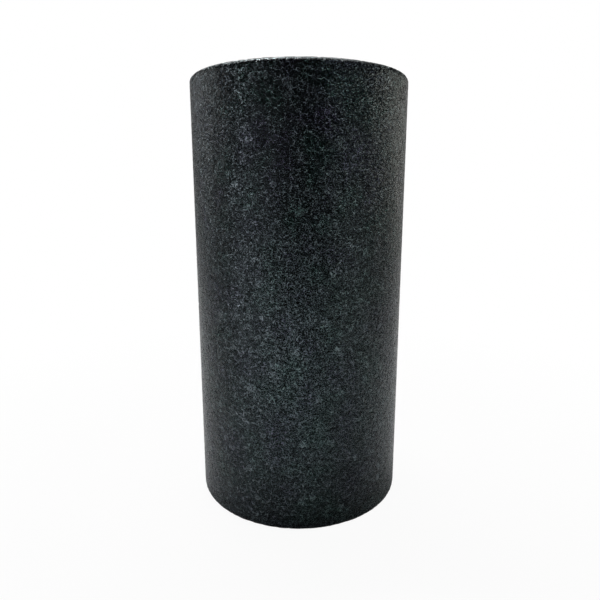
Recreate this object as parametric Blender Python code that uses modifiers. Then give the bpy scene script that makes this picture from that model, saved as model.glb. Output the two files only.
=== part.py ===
"""Massage roller: one solid cylinder of moulded bead foam, standing on one of its end faces.

Units are metres. The roller's axis is +Z, and the origin is the middle of the end that it stands on.
The real object is a single moulding with no core, sleeve, cap or fastener, so it is a single solid here.
"""

import math

import bpy

# Driving dimensions of the moulding.
ROLLER_LENGTH = 0.3048
ROLLER_DIAMETER = 0.1524
EDGE_RADIUS = 0.004

# How finely the round shapes are divided.
TURN_STEPS = 96
EDGE_STEPS = 6

# Points of the turned surface nearer than this share of the edge radius are one point.
MERGE_SHARE = 0.002

FOAM_COLOUR = (0.021, 0.024, 0.025, 1.0)
FOAM_ROUGHNESS = 0.5
FOAM_METALLIC = 0.0


def clear_scene():
    for old in list(bpy.data.objects):
        bpy.data.objects.remove(old, do_unlink=True)


def foam_material():
    material = bpy.data.materials.new("black_bead_foam")
    material.use_nodes = True
    shader = material.node_tree.nodes["Principled BSDF"]
    shader.inputs["Base Color"].default_value = FOAM_COLOUR
    shader.inputs["Roughness"].default_value = FOAM_ROUGHNESS
    shader.inputs["Metallic"].default_value = FOAM_METALLIC
    return material


def quarter_arc(centre_x, centre_z, first_angle):
    """Points of a rounded edge, from first_angle clockwise through a quarter turn."""
    points = []
    for step in range(EDGE_STEPS + 1):
        angle = first_angle - math.pi / 2 * step / EDGE_STEPS
        x = centre_x + EDGE_RADIUS * math.cos(angle)
        z = centre_z + EDGE_RADIUS * math.sin(angle)
        points.append((x, 0.0, z))
    return points


def roller_profile():
    """Half of the roller's lengthwise section, from the middle of the top face to that of the bottom."""
    arc_x = ROLLER_DIAMETER / 2 - EDGE_RADIUS
    top_edge = quarter_arc(arc_x, ROLLER_LENGTH - EDGE_RADIUS, math.pi / 2)
    bottom_edge = quarter_arc(arc_x, EDGE_RADIUS, 0.0)
    return [(0.0, 0.0, ROLLER_LENGTH), *top_edge, *bottom_edge, (0.0, 0.0, 0.0)]


def turned_solid(name, profile, material, collection):
    """A closed solid, made by turning an open profile about +Z."""
    mesh = bpy.data.meshes.new(name)
    edges = [(i, i + 1) for i in range(len(profile) - 1)]
    mesh.from_pydata(profile, edges, [])
    mesh.materials.append(material)
    solid = bpy.data.objects.new(name, mesh)
    collection.objects.link(solid)
    screw = solid.modifiers.new("turn", "SCREW")
    screw.axis = "Z"
    screw.angle = 2 * math.pi
    screw.steps = TURN_STEPS
    screw.render_steps = TURN_STEPS
    screw.use_merge_vertices = True
    screw.merge_threshold = MERGE_SHARE * EDGE_RADIUS
    screw.use_smooth_shade = True
    return solid


def main():
    clear_scene()
    collection = bpy.data.collections.new("massage_roller")
    bpy.context.scene.collection.children.link(collection)
    turned_solid("roller_body", roller_profile(), foam_material(), collection)


main()
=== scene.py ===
"""Looks of the massage roller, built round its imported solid.

The solid is smooth. Its place is taken here by the moulded skin itself: fused foam beads with flattened
faces, parted by shallow grooves, with small pits where some of them meet. Lengths are in metres.
"""

import math

import bpy
import numpy as np
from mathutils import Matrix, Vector, kdtree
from mathutils.geometry import delaunay_2d_cdt

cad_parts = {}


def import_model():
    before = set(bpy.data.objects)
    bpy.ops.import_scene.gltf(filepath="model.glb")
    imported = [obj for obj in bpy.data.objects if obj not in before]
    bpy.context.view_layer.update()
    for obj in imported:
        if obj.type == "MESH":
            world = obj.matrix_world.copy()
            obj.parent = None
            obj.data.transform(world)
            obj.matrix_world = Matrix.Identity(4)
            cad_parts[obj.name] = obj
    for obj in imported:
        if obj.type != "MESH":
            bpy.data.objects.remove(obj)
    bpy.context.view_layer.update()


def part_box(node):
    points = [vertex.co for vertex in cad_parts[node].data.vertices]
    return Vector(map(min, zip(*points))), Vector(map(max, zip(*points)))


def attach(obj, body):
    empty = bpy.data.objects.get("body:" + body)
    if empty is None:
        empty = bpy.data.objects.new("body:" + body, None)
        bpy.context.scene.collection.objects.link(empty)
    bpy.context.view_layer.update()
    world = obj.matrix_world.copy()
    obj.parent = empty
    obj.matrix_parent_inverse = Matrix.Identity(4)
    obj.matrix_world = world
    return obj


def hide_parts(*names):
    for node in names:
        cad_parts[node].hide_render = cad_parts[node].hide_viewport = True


NODE = "roller_body"

# The roller's rim, as its solid has it.
RIM_RADIUS = 0.004

# How finely the half section is divided where lengths and areas along it are added up.
SECTION_STEPS = 20_000

# Less than any length here.
TINY = 1e-9

# Bead layout. Two beads' middles are set no nearer together than the sum of their sizes.
BEAD_SEED = 41
BEAD_TRIES = 110_000
SMALLEST_BEAD = 0.00128
LARGEST_BEAD = 0.00205
RELAX_ROUNDS = 2
RELAX_SHARE = 0.35

# Bead relief. Depths are below the mould's surface. The largest inset is a share of the way from a corner to
# the bead's middle, the deepest top a share of the corner's depth, and the tilt of a top a slope.
GROOVE_HALF_WIDTH = 0.00025
GROOVE_DEPTH = 0.00020
GROOVE_SPREAD = 0.00008
LARGEST_INSET = 0.45
TOP_DEPTH = 0.00004
DEEPEST_TOP = 0.8
TOP_TILT = 0.02
PIT_SHARE = 0.03
PIT_DEPTHS = (0.00036, 0.0006)
PIT_WIDTH = 0.0002

# The flat picture that the skin's colours can be baked to, with this much room round its pieces.
BAKE_MAP = "OFBake"
BAKE_MARGIN = 0.004

# Foam skin: sizes of its marks.
SHAKE_SIZE = 0.0022
SHAKE_REACH = 0.0008
SEAM_CELL = 0.0027
SEAM_WIDTH = 0.0004
BREAK_SIZE = 0.0028
SMALL_FLAKE = 0.0005
FLAKE_FLATNESS = 1.7
LARGE_FLAKE = 0.0016
GRAIN_SIZE = 0.0008
SHEEN_PATCH = 0.0015
WRINKLE_SIZE = 0.0011
WRINKLE_HEIGHT = 0.0001
BLOTCH_SIZE = 0.025

# How many finer layers a noise has over its first one.
SOFT = 1.0
FINE = 2.0
FINEST = 3.0

# How much each mark adds to the shade, and the sums that come out as the dullest and the palest foam.
SHADE_WEIGHTS = {
    "small_flakes": 0.90,
    "large_flakes": 0.05,
    "grain": 0.25,
    "bead_tone": 0.05,
    "pale_beads": 0.25,
    # Painted highlight: paler and shinier in the grooves and seams, where bead edges would catch the light.
    "highlight_lines": 0.55,
    # Painted shade: darker and less glossy in the pits.
    "pits": -0.50,
}
SHADE_RANGE = (0.40, 1.30)

# The values of a noise between which the painted highlight along grooves and seams fades in, and the tones
# between which a bead turns pale.
UNBROKEN_LINES = (0.4, 0.6)
PALE_BEADS = (0.94, 1.0)

# Foam colours from dullest to palest. A cast multiplies them, and comes in between two values of a noise.
FOAM_SHADES = (
    (0.00, (0.0003, 0.0004, 0.0005)),
    (0.33, (0.0025, 0.0031, 0.0040)),
    (0.67, (0.0147, 0.0189, 0.0220)),
    (1.00, (0.0735, 0.0918, 0.1020)),
)
GREEN_CAST = (0.50, 1.0, 0.71)
GREEN_PATCHES = (0.51, 0.61)
VIOLET_CAST = (0.93, 0.60, 1.0)
VIOLET_PATCHES = (0.48, 0.38)

# Gloss: the pale flakes shine and the dull ones hardly do, so the painted highlight in grooves and seams
# shines and the painted shade in the pits hardly reflects. The roughness goes through its range between two
# values of a noise.
SHINE_POWER = 2.2
SHINE_RANGE = (0.1, 2.4)
SHEEN_TINT = (0.72, 0.95, 1.0)
SHEEN_CONTRAST = (0.35, 0.65)
ROUGHNESS_RANGE = (0.17, 0.22)
FLAKE_TILT = 0.28

# The paper sweep that the roller stands on.
SWEEP_FRONT = -0.757
SWEEP_BACK = 1.4
SWEEP_CURVE = 0.4
SWEEP_HEIGHT = 1.8
SWEEP_WIDTH = 2.6
SWEEP_STEPS = 16
PAPER_WHITE = 0.8
ROOM_LIGHT = 0.03

# The share of white light in what the camera sees of the paper, near the roller and far from it.
NEAR_WASH = 0.95
FAR_WASH = 1.0
NEAR_REACH = 0.2
FAR_REACH = 0.5

# Lamp colours.
PLAIN = (1.0, 1.0, 1.0)
COOL = (0.97, 0.90, 1.13)
ROSY = (1.06, 0.95, 0.99)
WARM = (1.05, 1.02, 0.93)

# Soft boxes: turn from the camera's side towards the right and climb above the roller's middle, both in
# degrees, then size and distance in metres, power in watts, and colour.
SOFT_BOXES = {
    "back_left_high": (-150, 65, 0.6, 1.3, 11.3, PLAIN),
    "back_right_high": (150, 65, 0.6, 1.3, 4.0, PLAIN),
    "front_right_high": (60, 35, 0.6, 1.3, 0.62, COOL),
    "left_side": (-110, 18, 0.5, 1.3, 2.28, PLAIN),
    "right_side": (110, 18, 0.5, 1.3, 1.48, WARM),
    "back_right_low": (135, 8, 0.5, 1.3, 0.48, WARM),
    "front_left_low": (-40, 2, 0.35, 1.0, 1.4, ROSY),
    "front_right_low": (62, 2, 0.22, 1.0, 0.49, WARM),
}

# Spot lamps on the paper in front of the roller, which mirrors them: the middle of the lit patch and its
# radius in metres, then power in watts, and colour.
FLOOR_SPOTS = {
    "left_floor_spot": (-0.08, -0.34, 0.1, 105, ROSY),
    "right_floor_spot": (0.08, -0.26, 0.1, 46, PLAIN),
}

# The spot lamps themselves: their height, how far in front of its patch each one hangs, how soft the patch's
# edge is, and the bulb's radius.
SPOT_HEIGHT = 0.8
SPOT_LEAN = 0.15
SPOT_BLEND = 0.6
SPOT_BULB = 0.05

# The camera that took the photograph, from a fit to the roller's outline.
PHOTO_PIXELS = 600
FOCAL_PIXELS = 525.81
SENSOR_MM = 36.0
CAMERA_DISTANCE = 0.3965
CAMERA_HEIGHT = 0.2308
CAMERA_PITCH = math.radians(12.012)
CAMERA_YAW = math.radians(0.1035)


class Section:
    """The roller's half section. Distance s runs from the middle of the top face to that of the bottom."""

    def __init__(self, radius, length, rim):
        self.radius = radius
        self.length = length
        self.rim = rim
        self.flat = radius - rim
        self.arc = rim * math.pi / 2
        self.half = self.flat + self.arc + length / 2 - rim

    def at(self, s):
        """The radius and height at s, and the radial and upward parts of the outward normal."""
        below = s > self.half
        t = np.where(below, 2 * self.half - s, s)
        turn = np.clip((t - self.flat) / self.rim, 0, math.pi / 2)
        r = np.minimum(t, self.flat) + self.rim * np.sin(turn)
        drop = self.rim * (1 - np.cos(turn)) + np.maximum(t - self.flat - self.arc, 0)
        z = np.where(below, drop, self.length - drop)
        return r, z, np.sin(turn), np.where(below, -np.cos(turn), np.cos(turn))

    def nearest(self, points):
        """The angle and distance s of the surface points nearest to points."""
        out = np.hypot(points[:, 0], points[:, 1])
        below = points[:, 2] < self.length / 2
        depth = np.where(below, points[:, 2], self.length - points[:, 2])
        turn = np.arctan2(np.maximum(out - self.flat, 0), np.maximum(self.rim - depth, 0))
        t = np.minimum(out, self.flat) + self.rim * turn + np.maximum(depth - self.rim, 0)
        return np.arctan2(points[:, 1], points[:, 0]), np.where(below, 2 * self.half - t, t)

    def points(self, angle, s, depth=0.0):
        """Points at this depth under the surface."""
        r, z, out, up = self.at(s)
        r = r - depth * out
        return np.stack([r * np.cos(angle), r * np.sin(angle), z - depth * up], 1)

    def frames(self, angle, s):
        """The outward normal and two directions along the surface."""
        _, _, out, up = self.at(s)
        normal = np.stack([out * np.cos(angle), out * np.sin(angle), up], 1)
        around = np.stack([-np.sin(angle), np.cos(angle), np.zeros_like(angle)], 1)
        return normal, around, np.cross(normal, around)

    def chart(self, angle, s):
        """The surface on a plane with its angles kept, so that a Delaunay net there is one here too."""
        grid = np.linspace(self.flat, self.half, SECTION_STEPS)
        stretch = 1 / self.at(grid)[0]
        steps = (stretch[1:] + stretch[:-1]) / 2 * np.diff(grid)
        reach = np.concatenate([[0], np.cumsum(steps)])
        below = s > self.half
        t = np.where(below, 2 * self.half - s, s)
        inner = np.log(np.maximum(t, TINY) / self.flat)
        along = np.where(t < self.flat, inner, np.interp(t, grid, reach)) - reach[-1]
        size = np.exp(np.where(below, -along, along))
        return size * np.cos(angle), size * np.sin(angle)

    def unrolled(self, angle, s, bead_angle, bead_s):
        """Places in a unit square: the side as a strip, and the ends as discs above it. Beads stay whole."""
        turn = bead_angle + (angle - bead_angle + math.pi) % (2 * math.pi) - math.pi
        strip_height = 2 * (self.half - self.flat)
        side_x = BAKE_MARGIN + self.radius * (turn + math.pi)
        side_y = BAKE_MARGIN + strip_height - (s - self.flat)
        disc_y = 3 * BAKE_MARGIN + strip_height + self.flat
        top_x = BAKE_MARGIN + self.flat
        bottom_x = 3 * (BAKE_MARGIN + self.flat)
        out = np.minimum(s, 2 * self.half - s)
        places = [bead_s < self.flat, bead_s > 2 * self.half - self.flat]
        x = np.select(places, [top_x + out * np.cos(angle), bottom_x + out * np.cos(angle)], side_x)
        y = np.select(places, [disc_y + out * np.sin(angle), disc_y - out * np.sin(angle)], side_y)
        return np.stack([x, y], 1) / (2 * math.pi * self.radius + 2 * BAKE_MARGIN)


def scatter_beads(section, rng):
    """Bead centres at random, none nearer to another than their two sizes. The bottom's middle is last."""
    s = np.linspace(0, 2 * section.half, SECTION_STEPS)
    area = np.cumsum(section.at(s)[0])
    tries_s = np.interp(rng.uniform(0, area[-1], BEAD_TRIES), area, s)
    tries_angle = rng.uniform(-math.pi, math.pi, BEAD_TRIES)
    tries_s[0] = 2 * section.half
    sizes = rng.uniform(SMALLEST_BEAD, LARGEST_BEAD, BEAD_TRIES)
    places = section.points(tries_angle, tries_s)
    tree = kdtree.KDTree(BEAD_TRIES)
    for i, place in enumerate(places):
        tree.insert(place, i)
    tree.balance()
    free = np.ones(BEAD_TRIES, bool)
    kept = []
    for i in range(BEAD_TRIES):
        if not free[i]:
            continue
        kept.append(i)
        for _, j, gap in tree.find_range(places[i], sizes[i] + LARGEST_BEAD):
            if gap < sizes[i] + sizes[j]:
                free[j] = False
    kept = np.roll(np.array(kept), -1)
    return tries_angle[kept], tries_s[kept]


def net(section, angle, s):
    """Delaunay triangles over the beads' centres, their corners in order as seen from outside."""
    x, y = section.chart(angle[:-1], s[:-1])
    flat = [Vector(p) for p in zip(x.tolist(), y.tolist())]
    triangles = np.array(delaunay_2d_cdt(flat, [], [], 0, TINY, False)[2])
    edges = np.concatenate([triangles[:, [0, 1]], triangles[:, [1, 2]], triangles[:, [2, 0]]])
    code = edges[:, 0] * len(s) + edges[:, 1]
    back = edges[:, 1] * len(s) + edges[:, 0]
    rim = edges[~np.isin(code, back)]
    last = np.full(len(rim), len(s) - 1)
    return np.concatenate([triangles, np.stack([rim[:, 1], rim[:, 0], last], 1)])


def relax(section, angle, s, triangles):
    """Each bead moves part of the way to the middle of its neighbours, as they press it there."""
    places = section.points(angle, s)
    total = np.zeros_like(places)
    count = np.zeros(len(s))
    for a, b in ((0, 1), (1, 2), (2, 0)):
        np.add.at(total, triangles[:, a], places[triangles[:, b]])
        np.add.at(count, triangles[:, a], 1)
    target = places + RELAX_SHARE * (total / count[:, None] - places)
    target[-1] = places[-1]
    new_angle, new_s = section.nearest(target)
    new_s[-1] = s[-1]
    return new_angle, new_s


def corners_between(places, triangles):
    """The point equally far from each triangle's three beads, where their grooves meet."""
    a, b, c = (places[triangles[:, k]] for k in range(3))
    ab, ac = b - a, c - a
    cross = np.cross(ab, ac)
    ab2, ac2 = (ab * ab).sum(1)[:, None], (ac * ac).sum(1)[:, None]
    top = np.cross(cross, ab) * ac2 + np.cross(ac, cross) * ab2
    return a + top / (2 * (cross * cross).sum(1))[:, None]


def bead_outlines(section, angle, s, triangles, meets):
    """For each corner of each bead: the bead and the triangle there, bead by bead and anticlockwise."""
    bead = triangles.ravel()
    corner = np.repeat(np.arange(len(triangles)), 3)
    _, around, along = section.frames(angle, s)
    step = meets[corner] - section.points(angle, s)[bead]
    bearing = np.arctan2((step * along[bead]).sum(1), (step * around[bead]).sum(1))
    order = np.lexsort((bearing, bead))
    return bead[order], corner[order]


def pack_beads(section, rng):
    """Bead centres as angles and distances s, with the triangles of neighbours between them."""
    angle, s = scatter_beads(section, rng)
    for _ in range(RELAX_ROUNDS):
        angle, s = relax(section, angle, s, net(section, angle, s))
    return angle, s, net(section, angle, s)


def lowest_of(values, starts, counts):
    """The least value of each bead's outline, given back at each point of it."""
    return np.repeat(np.minimum.reduceat(values, starts), counts)


class BeadSkin:
    """The moulded skin: beads with flattened tops, parted by grooves.

    Its points are the corners, one where each three beads meet, then the outline points, one on each bead
    beside each of its corners, and then the middles of the beads' tops.
    """

    def __init__(self, section):
        rng = np.random.default_rng(BEAD_SEED)
        self.section = section
        self.angle, self.s, triangles = pack_beads(section, rng)
        self.middles = section.points(self.angle, self.s)
        self.corner_angle, self.corner_s = section.nearest(corners_between(self.middles, triangles))
        self.corners = section.points(self.corner_angle, self.corner_s)
        self.bead, self.corner = bead_outlines(section, self.angle, self.s, triangles, self.corners)
        self.starts = np.flatnonzero(np.r_[True, self.bead[1:] != self.bead[:-1]])
        self.counts = np.diff(np.r_[self.starts, len(self.bead)])
        self.next = np.arange(1, len(self.bead) + 1)
        self.next[self.starts + self.counts - 1] = self.starts
        self.corner_bead = triangles[:, 0]
        self.sink_corners(rng)
        self.set_outlines()
        self.tilt_tops(rng)
        self.tone = rng.random(len(self.s))

    def sink_corners(self, rng):
        """Sets how deep each corner lies. A few are pits, where three beads stayed apart."""
        count = len(self.corners)
        self.pitted = rng.random(count) < PIT_SHARE
        groove = GROOVE_DEPTH + rng.uniform(-1, 1, count) * GROOVE_SPREAD
        self.depth = np.where(self.pitted, rng.uniform(*PIT_DEPTHS, count), groove)

    def set_outlines(self):
        """Draws each bead's outline in from its corners, by half a groove and more beside a pit."""
        step = self.corners[self.corner] - self.middles[self.bead]
        length = np.linalg.norm(step, axis=1)
        narrowest = lowest_of(length, self.starts, self.counts)
        inset = np.minimum(GROOVE_HALF_WIDTH / narrowest, LARGEST_INSET) * length
        inset = inset + np.where(self.pitted[self.corner], PIT_WIDTH, 0)
        kept = (1 - inset / length)[:, None]
        self.step = step
        self.outline_angle, self.outline_s = self.section.nearest(self.middles[self.bead] + step * kept)

    def tilt_tops(self, rng):
        """Leans each bead's top a little its own way, with no point of it above the mould."""
        normal, around, along = self.section.frames(self.angle, self.s)
        tilt = rng.normal(0, TOP_TILT, (len(self.s), 2))
        lean = around * tilt[:, :1] + along * tilt[:, 1:]
        drop = -(self.step * lean[self.bead]).sum(1)
        drop = drop - lowest_of(drop, self.starts, self.counts)
        self.drop = np.minimum(TOP_DEPTH + drop, self.depth[self.corner] * DEEPEST_TOP)
        outline_normal, _, _ = self.section.frames(self.outline_angle, self.outline_s)
        self.middle_normal = normal - lean
        self.outline_normal = outline_normal - lean[self.bead]

    def points(self):
        low = self.section.points(self.corner_angle, self.corner_s, self.depth)
        high = self.section.points(self.outline_angle, self.outline_s, self.drop)
        return np.concatenate([low, high, self.section.points(self.angle, self.s, TOP_DEPTH)])

    def faces(self):
        """The groove walls, of four corners each, and the tops' triangles: one of each per outline point."""
        here = len(self.corners) + np.arange(len(self.bead))
        middle = len(self.corners) + len(self.bead) + self.bead
        walls = np.stack([self.corner, self.corner[self.next], here[self.next], here], 1)
        return walls, np.stack([middle, here, here[self.next]], 1)

    def normals(self, points, walls):
        """A normal for each corner of each face: flat on the walls, and as the mould's on the tops."""
        a, b, c, d = (points[walls[:, k]] for k in range(4))
        flat = np.repeat(np.cross(c - a, d - b), 4, axis=0)
        round_top = [self.middle_normal[self.bead], self.outline_normal, self.outline_normal[self.next]]
        normals = np.concatenate([flat, np.stack(round_top, 1).reshape(-1, 3)])
        return normals / np.linalg.norm(normals, axis=1)[:, None]

    def values(self):
        """Each point's bead tone, groove share and pit share."""
        owner = np.concatenate([self.corner_bead, self.bead, np.arange(len(self.s))])
        others = np.zeros(len(self.bead) + len(self.s))
        groove = np.concatenate([np.ones(len(self.corners)), others])
        pit = np.concatenate([self.pitted, others])
        return {"bead_tone": self.tone[owner], "groove": groove, "pit": pit}

    def bake_map(self, walls, tops):
        """Each face corner's place on a flat picture of the skin, bead by bead."""
        angle = np.concatenate([self.corner_angle, self.outline_angle, self.angle])
        s = np.concatenate([self.corner_s, self.outline_s, self.s])
        point = np.concatenate([walls.ravel(), tops.ravel()])
        bead = np.concatenate([np.repeat(self.bead, 4), np.repeat(self.bead, 3)])
        return self.section.unrolled(angle[point], s[point], self.angle[bead], self.s[bead])


def make_roller(section):
    skin = BeadSkin(section)
    points = skin.points()
    walls, tops = skin.faces()
    mesh = bpy.data.meshes.new("moulded_bead_foam")
    mesh.from_pydata(points.tolist(), [], walls.tolist() + tops.tolist())
    for name, values in skin.values().items():
        attribute = mesh.attributes.new(name, "FLOAT", "POINT")
        attribute.data.foreach_set("value", values.astype(np.float32))
    bake_map = mesh.uv_layers.new(name=BAKE_MAP)
    bake_map.uv.foreach_set("vector", skin.bake_map(walls, tops).astype(np.float32).ravel())
    mesh.shade_smooth()
    mesh.normals_split_custom_set(skin.normals(points, walls).tolist())
    mesh.update()
    roller = bpy.data.objects.new("moulded_foam_skin", mesh)
    bpy.context.scene.collection.objects.link(roller)
    return roller


class Paint:
    """A material's nodes, added one after another. Sizes are in metres on the object."""

    def __init__(self, name):
        self.material = bpy.data.materials.new(name)
        self.material.use_nodes = True
        self.nodes = self.material.node_tree.nodes
        self.links = self.material.node_tree.links
        self.shader = self.nodes["Principled BSDF"]
        self.place = self.nodes.new("ShaderNodeTexCoord").outputs["Object"]

    def plug(self, source, socket):
        """The source is a number, a colour, or another node's output."""
        if isinstance(source, bpy.types.NodeSocket):
            self.links.new(source, socket)
        else:
            socket.default_value = source

    def attribute(self, name):
        node = self.nodes.new("ShaderNodeAttribute")
        node.attribute_name = name
        return node.outputs["Fac"]

    def noise(self, name, size, detail):
        """Soft patches about this size across, with finer layers over them."""
        node = self.nodes.new("ShaderNodeTexNoise")
        node.name = name
        node.inputs["Scale"].default_value = 1 / size
        node.inputs["Detail"].default_value = detail
        self.links.new(self.place, node.inputs["Vector"])
        return node

    def cells(self, name, size, feature, place):
        node = self.nodes.new("ShaderNodeTexVoronoi")
        node.name = name
        node.feature = feature
        node.inputs["Scale"].default_value = 1 / size
        self.links.new(place, node.inputs["Vector"])
        return node

    def flakes(self, name, size, place):
        """One random value for each small cell."""
        split = self.nodes.new("ShaderNodeSeparateColor")
        self.links.new(self.cells(name, size, "F1", place).outputs["Color"], split.inputs["Color"])
        return split.outputs["Red"]

    def tilted(self, normal, flakes, tilt):
        """The normal, leaning its own way on each of the cells with this name."""
        lean = self.nodes.new("ShaderNodeVectorMath")
        lean.operation = "MULTIPLY_ADD"
        self.links.new(self.nodes[flakes].outputs["Color"], lean.inputs[0])
        lean.inputs[1].default_value = (2 * tilt, 2 * tilt, 2 * tilt)
        lean.inputs[2].default_value = (-tilt, -tilt, -tilt)
        both = self.nodes.new("ShaderNodeVectorMath")
        self.links.new(normal, both.inputs[0])
        self.links.new(lean.outputs["Vector"], both.inputs[1])
        unit = self.nodes.new("ShaderNodeVectorMath")
        unit.operation = "NORMALIZE"
        self.links.new(both.outputs["Vector"], unit.inputs[0])
        return unit.outputs["Vector"]

    def seams(self, name, size, width, place):
        """Lines of this width between cells: 1 in the middle of a line and 0 beside it."""
        edge = self.cells(name, size, "DISTANCE_TO_EDGE", place).outputs["Distance"]
        return self.spread(edge, 0.0, width / size / 2, 1.0, 0.0)

    def shaken(self, name, size, reach):
        """The place, moved to and fro by about this reach, so that straight edges come out crooked."""
        node = self.nodes.new("ShaderNodeVectorMath")
        node.operation = "MULTIPLY_ADD"
        self.links.new(self.noise(name, size, SOFT).outputs["Color"], node.inputs[0])
        node.inputs[1].default_value = (2 * reach, 2 * reach, 2 * reach)
        self.links.new(self.place, node.inputs[2])
        return node.outputs["Vector"]

    def flattened(self, place, flatness):
        """The place, drawn out upward, so that what is drawn there comes out this much lower than wide."""
        node = self.nodes.new("ShaderNodeVectorMath")
        node.operation = "MULTIPLY"
        self.links.new(place, node.inputs[0])
        node.inputs[1].default_value = (1.0, 1.0, flatness)
        return node.outputs["Vector"]

    def spread(self, source, low, high, new_low, new_high):
        """The source's range from low to high, laid out from new_low to new_high."""
        node = self.nodes.new("ShaderNodeMapRange")
        for socket, value in zip(node.inputs[:5], (source, low, high, new_low, new_high)):
            self.plug(value, socket)
        return node.outputs["Result"]

    def maths(self, operation, first, second):
        node = self.nodes.new("ShaderNodeMath")
        node.operation = operation
        self.plug(first, node.inputs[0])
        self.plug(second, node.inputs[1])
        return node.outputs["Value"]

    def total(self, parts):
        """The sum of (source, weight) pairs."""
        whole = 0.0
        for source, weight in parts:
            whole = self.maths("ADD", whole, self.maths("MULTIPLY", source, weight))
        return whole

    def ramp(self, source, stops):
        node = self.nodes.new("ShaderNodeValToRGB")
        marks = node.color_ramp.elements
        marks[0].position, marks[-1].position = stops[0][0], stops[-1][0]
        marks[0].color, marks[-1].color = (*stops[0][1], 1), (*stops[-1][1], 1)
        for position, colour in stops[1:-1]:
            marks.new(position).color = (*colour, 1)
        self.links.new(source, node.inputs["Fac"])
        return node.outputs["Color"]

    def tinted(self, colour, factor, tint):
        """The colour, multiplied by the tint as far as the factor goes."""
        node = self.nodes.new("ShaderNodeMix")
        node.data_type = "RGBA"
        node.blend_type = "MULTIPLY"
        self.links.new(factor, node.inputs["Factor"])
        self.links.new(colour, node.inputs["A"])
        node.inputs["B"].default_value = (*tint, 1)
        return node.outputs["Result"]


def foam_highlight_lines(paint, place):
    """Painted highlight in the grooves and across the beads, where their edges would catch the light, broken
    in many places: 1 on a line and 0 beside it.
    """
    fine = paint.seams("fine_seams", SEAM_CELL, SEAM_WIDTH, place)
    whole = paint.noise("whole_lines", BREAK_SIZE, SOFT).outputs["Fac"]
    highlight_lines = paint.maths("MAXIMUM", paint.attribute("groove"), fine)
    return paint.maths("MULTIPLY", highlight_lines, paint.spread(whole, *UNBROKEN_LINES, 0.0, 1.0))


def foam_shade(paint):
    """From 0, the dullest foam, to 1, the palest, with painted highlight along grooves and seams and painted
    shade in the pits.
    """
    crooked = paint.shaken("crooked", SHAKE_SIZE, SHAKE_REACH)
    level = paint.flattened(paint.place, FLAKE_FLATNESS)
    tone = paint.attribute("bead_tone")
    marks = {
        "small_flakes": paint.flakes("small_flakes", SMALL_FLAKE, level),
        "large_flakes": paint.flakes("large_flakes", LARGE_FLAKE, crooked),
        "grain": paint.noise("grain", GRAIN_SIZE, FINE).outputs["Fac"],
        "bead_tone": tone,
        "pale_beads": paint.spread(tone, *PALE_BEADS, 0.0, 1.0),
        "highlight_lines": foam_highlight_lines(paint, crooked),
        "pits": paint.attribute("pit"),
    }
    total = paint.total([(marks[name], weight) for name, weight in SHADE_WEIGHTS.items()])
    return paint.spread(total, *SHADE_RANGE, 0.0, 1.0)


def foam_colour(paint, shade):
    """The colour of each shade, with small patches of green and violet."""
    patches = paint.noise("patches", BLOTCH_SIZE, FINEST).outputs["Fac"]
    colour = paint.ramp(shade, FOAM_SHADES)
    colour = paint.tinted(colour, paint.spread(patches, *GREEN_PATCHES, 0.0, 1.0), GREEN_CAST)
    return paint.tinted(colour, paint.spread(patches, *VIOLET_PATCHES, 0.0, 1.0), VIOLET_CAST)


def foam_relief(paint):
    """Wrinkles, and flakes that each lean their own way and so catch the light one by one."""
    bump = paint.nodes.new("ShaderNodeBump")
    bump.inputs["Distance"].default_value = WRINKLE_HEIGHT
    paint.plug(paint.noise("wrinkles", WRINKLE_SIZE, FINEST).outputs["Fac"], bump.inputs["Height"])
    return paint.tilted(bump.outputs["Normal"], "small_flakes", FLAKE_TILT)


def foam_material():
    """Black bead foam: dark flakes, a pale broken net painted as highlight, and pits painted dark as shade,
    each with its own shine.
    """
    paint = Paint("black_bead_foam")
    shade = foam_shade(paint)
    shine = paint.maths("POWER", shade, SHINE_POWER)
    sheen = paint.noise("sheen_patches", SHEEN_PATCH, FINE).outputs["Fac"]
    inputs = paint.shader.inputs
    paint.plug(foam_colour(paint, shade), inputs["Base Color"])
    paint.plug(paint.spread(shine, 0.0, 1.0, *SHINE_RANGE), inputs["Specular IOR Level"])
    paint.plug((*SHEEN_TINT, 1), inputs["Specular Tint"])
    paint.plug(paint.spread(sheen, *SHEEN_CONTRAST, *ROUGHNESS_RANGE), inputs["Roughness"])
    paint.plug(foam_relief(paint), inputs["Normal"])
    return paint.material


def show_white(tree, plain, white):
    """The camera sees white, also through glass, and all other rays meet the plain shader.

    Mirror rays do too: the roller has no metal or glass, and its sheen shows the dim room in front of it.
    """
    path = tree.nodes.new("ShaderNodeLightPath")
    either = tree.nodes.new("ShaderNodeMath")
    either.operation = "MAXIMUM"
    tree.links.new(path.outputs["Is Camera Ray"], either.inputs[0])
    tree.links.new(path.outputs["Is Transmission Ray"], either.inputs[1])
    seen = tree.nodes.new("ShaderNodeMixShader")
    tree.links.new(either.outputs["Value"], seen.inputs["Fac"])
    tree.links.new(plain.outputs[0], seen.inputs[1])
    tree.links.new(white.outputs[0], seen.inputs[2])
    return seen


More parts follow.
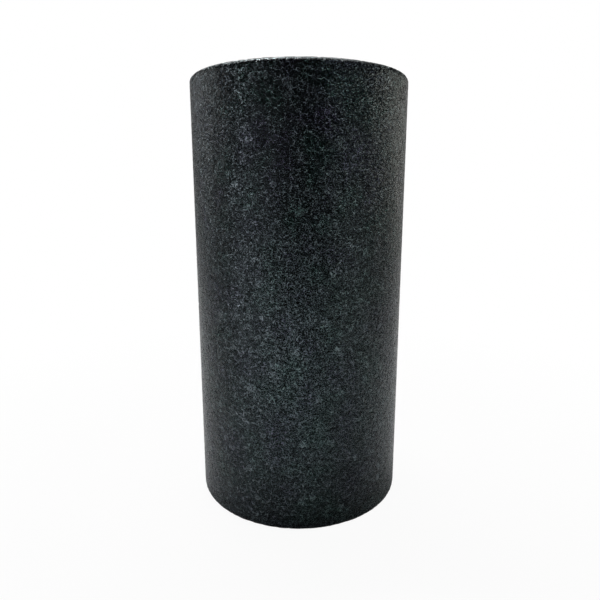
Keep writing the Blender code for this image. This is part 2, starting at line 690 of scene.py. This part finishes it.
def paper_material():
    """White paper. The camera sees it as white light, with a trace of shadow near the roller."""
    material = bpy.data.materials.new("white_paper")
    material.use_nodes = True
    tree = material.node_tree
    nodes, links = tree.nodes, tree.links
    nodes.clear()
    paper = nodes.new("ShaderNodeBsdfDiffuse")
    paper.inputs["Color"].default_value = (PAPER_WHITE, PAPER_WHITE, PAPER_WHITE, 1)
    white = nodes.new("ShaderNodeEmission")
    reach = nodes.new("ShaderNodeVectorMath")
    reach.operation = "LENGTH"
    links.new(nodes.new("ShaderNodeTexCoord").outputs["Object"], reach.inputs[0])
    wash = nodes.new("ShaderNodeMapRange")
    for socket, value in zip(wash.inputs[1:5], (NEAR_REACH, FAR_REACH, NEAR_WASH, FAR_WASH)):
        socket.default_value = value
    links.new(reach.outputs["Value"], wash.inputs["Value"])
    washed = nodes.new("ShaderNodeMixShader")
    links.new(wash.outputs["Result"], washed.inputs["Fac"])
    links.new(paper.outputs[0], washed.inputs[1])
    links.new(white.outputs[0], washed.inputs[2])
    output = nodes.new("ShaderNodeOutputMaterial")
    links.new(show_white(tree, paper, washed).outputs[0], output.inputs["Surface"])
    return material


def make_sweep():
    """A sheet of white paper: it lies under the roller, and curves up into a backdrop behind it."""
    outline = [(SWEEP_FRONT, 0.0)]
    for step in range(SWEEP_STEPS + 1):
        turn = math.pi / 2 * step / SWEEP_STEPS
        outline.append((SWEEP_BACK - SWEEP_CURVE * (1 - math.sin(turn)), SWEEP_CURVE * (1 - math.cos(turn))))
    outline.append((SWEEP_BACK, SWEEP_HEIGHT))
    points = [(x, y, z) for y, z in outline for x in (-SWEEP_WIDTH / 2, SWEEP_WIDTH / 2)]
    faces = [(2 * i, 2 * i + 1, 2 * i + 3, 2 * i + 2) for i in range(len(outline) - 1)]
    mesh = bpy.data.meshes.new("paper_sweep")
    mesh.from_pydata(points, [], faces)
    mesh.shade_smooth()
    sweep = bpy.data.objects.new("paper_sweep", mesh)
    sweep.data.materials.append(paper_material())
    bpy.context.scene.collection.objects.link(sweep)


def make_world():
    """A dim room, which the camera sees as white."""
    world = bpy.data.worlds.new("studio")
    bpy.context.scene.world = world
    world.use_nodes = True
    tree = world.node_tree
    tree.nodes.clear()
    room = tree.nodes.new("ShaderNodeBackground")
    white = tree.nodes.new("ShaderNodeBackground")
    for background, strength in ((room, ROOM_LIGHT), (white, 1.0)):
        background.inputs["Color"].default_value = (1, 1, 1, 1)
        background.inputs["Strength"].default_value = strength
    output = tree.nodes.new("ShaderNodeOutputWorld")
    tree.links.new(show_white(tree, room, white).outputs[0], output.inputs["Surface"])


def place_lamp(data, at, towards):
    """Puts a lamp there, hidden from the camera, and turns it to shine towards the second place."""
    lamp = bpy.data.objects.new(data.name, data)
    lamp.location = at
    lamp.rotation_euler = (at - towards).to_track_quat("Z", "Y").to_euler()
    lamp.visible_camera = False
    bpy.context.scene.collection.objects.link(lamp)


def make_soft_box(name, turn, climb, size, reach, power, colour, middle):
    data = bpy.data.lights.new(name, "AREA")
    data.size = size
    data.energy = power
    data.color = colour
    turn, climb = math.radians(turn), math.radians(climb)
    way = Vector((math.sin(turn) * math.cos(climb), -math.cos(turn) * math.cos(climb), math.sin(climb)))
    place_lamp(data, middle + reach * way, middle)


def make_floor_spot(name, x, y, radius, power, colour):
    data = bpy.data.lights.new(name, "SPOT")
    data.energy = power
    data.color = colour
    data.spot_size = 2 * math.atan(radius / SPOT_HEIGHT)
    data.spot_blend = SPOT_BLEND
    data.shadow_soft_size = SPOT_BULB
    place_lamp(data, Vector((x, y - SPOT_LEAN, SPOT_HEIGHT)), Vector((x, y, 0)))


def make_camera():
    data = bpy.data.cameras.new("photo_camera")
    data.sensor_width = SENSOR_MM
    data.lens = FOCAL_PIXELS / PHOTO_PIXELS * SENSOR_MM
    camera = bpy.data.objects.new("photo_camera", data)
    camera.location = (0, -CAMERA_DISTANCE, CAMERA_HEIGHT)
    camera.rotation_euler = (math.pi / 2 - CAMERA_PITCH, 0, -CAMERA_YAW)
    bpy.context.scene.collection.objects.link(camera)
    bpy.context.scene.camera = camera


def main():
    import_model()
    low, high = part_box(NODE)
    section = Section((high.x - low.x) / 2, high.z - low.z, RIM_RADIUS)
    roller = make_roller(section)
    roller.data.materials.append(foam_material())
    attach(roller, "root")
    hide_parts(NODE)
    make_sweep()
    make_world()
    for name, setting in SOFT_BOXES.items():
        make_soft_box(name, *setting, (low + high) / 2)
    for name, setting in FLOOR_SPOTS.items():
        make_floor_spot(name, *setting)
    make_camera()
    bpy.context.scene.view_settings.view_transform = "Standard"


main()
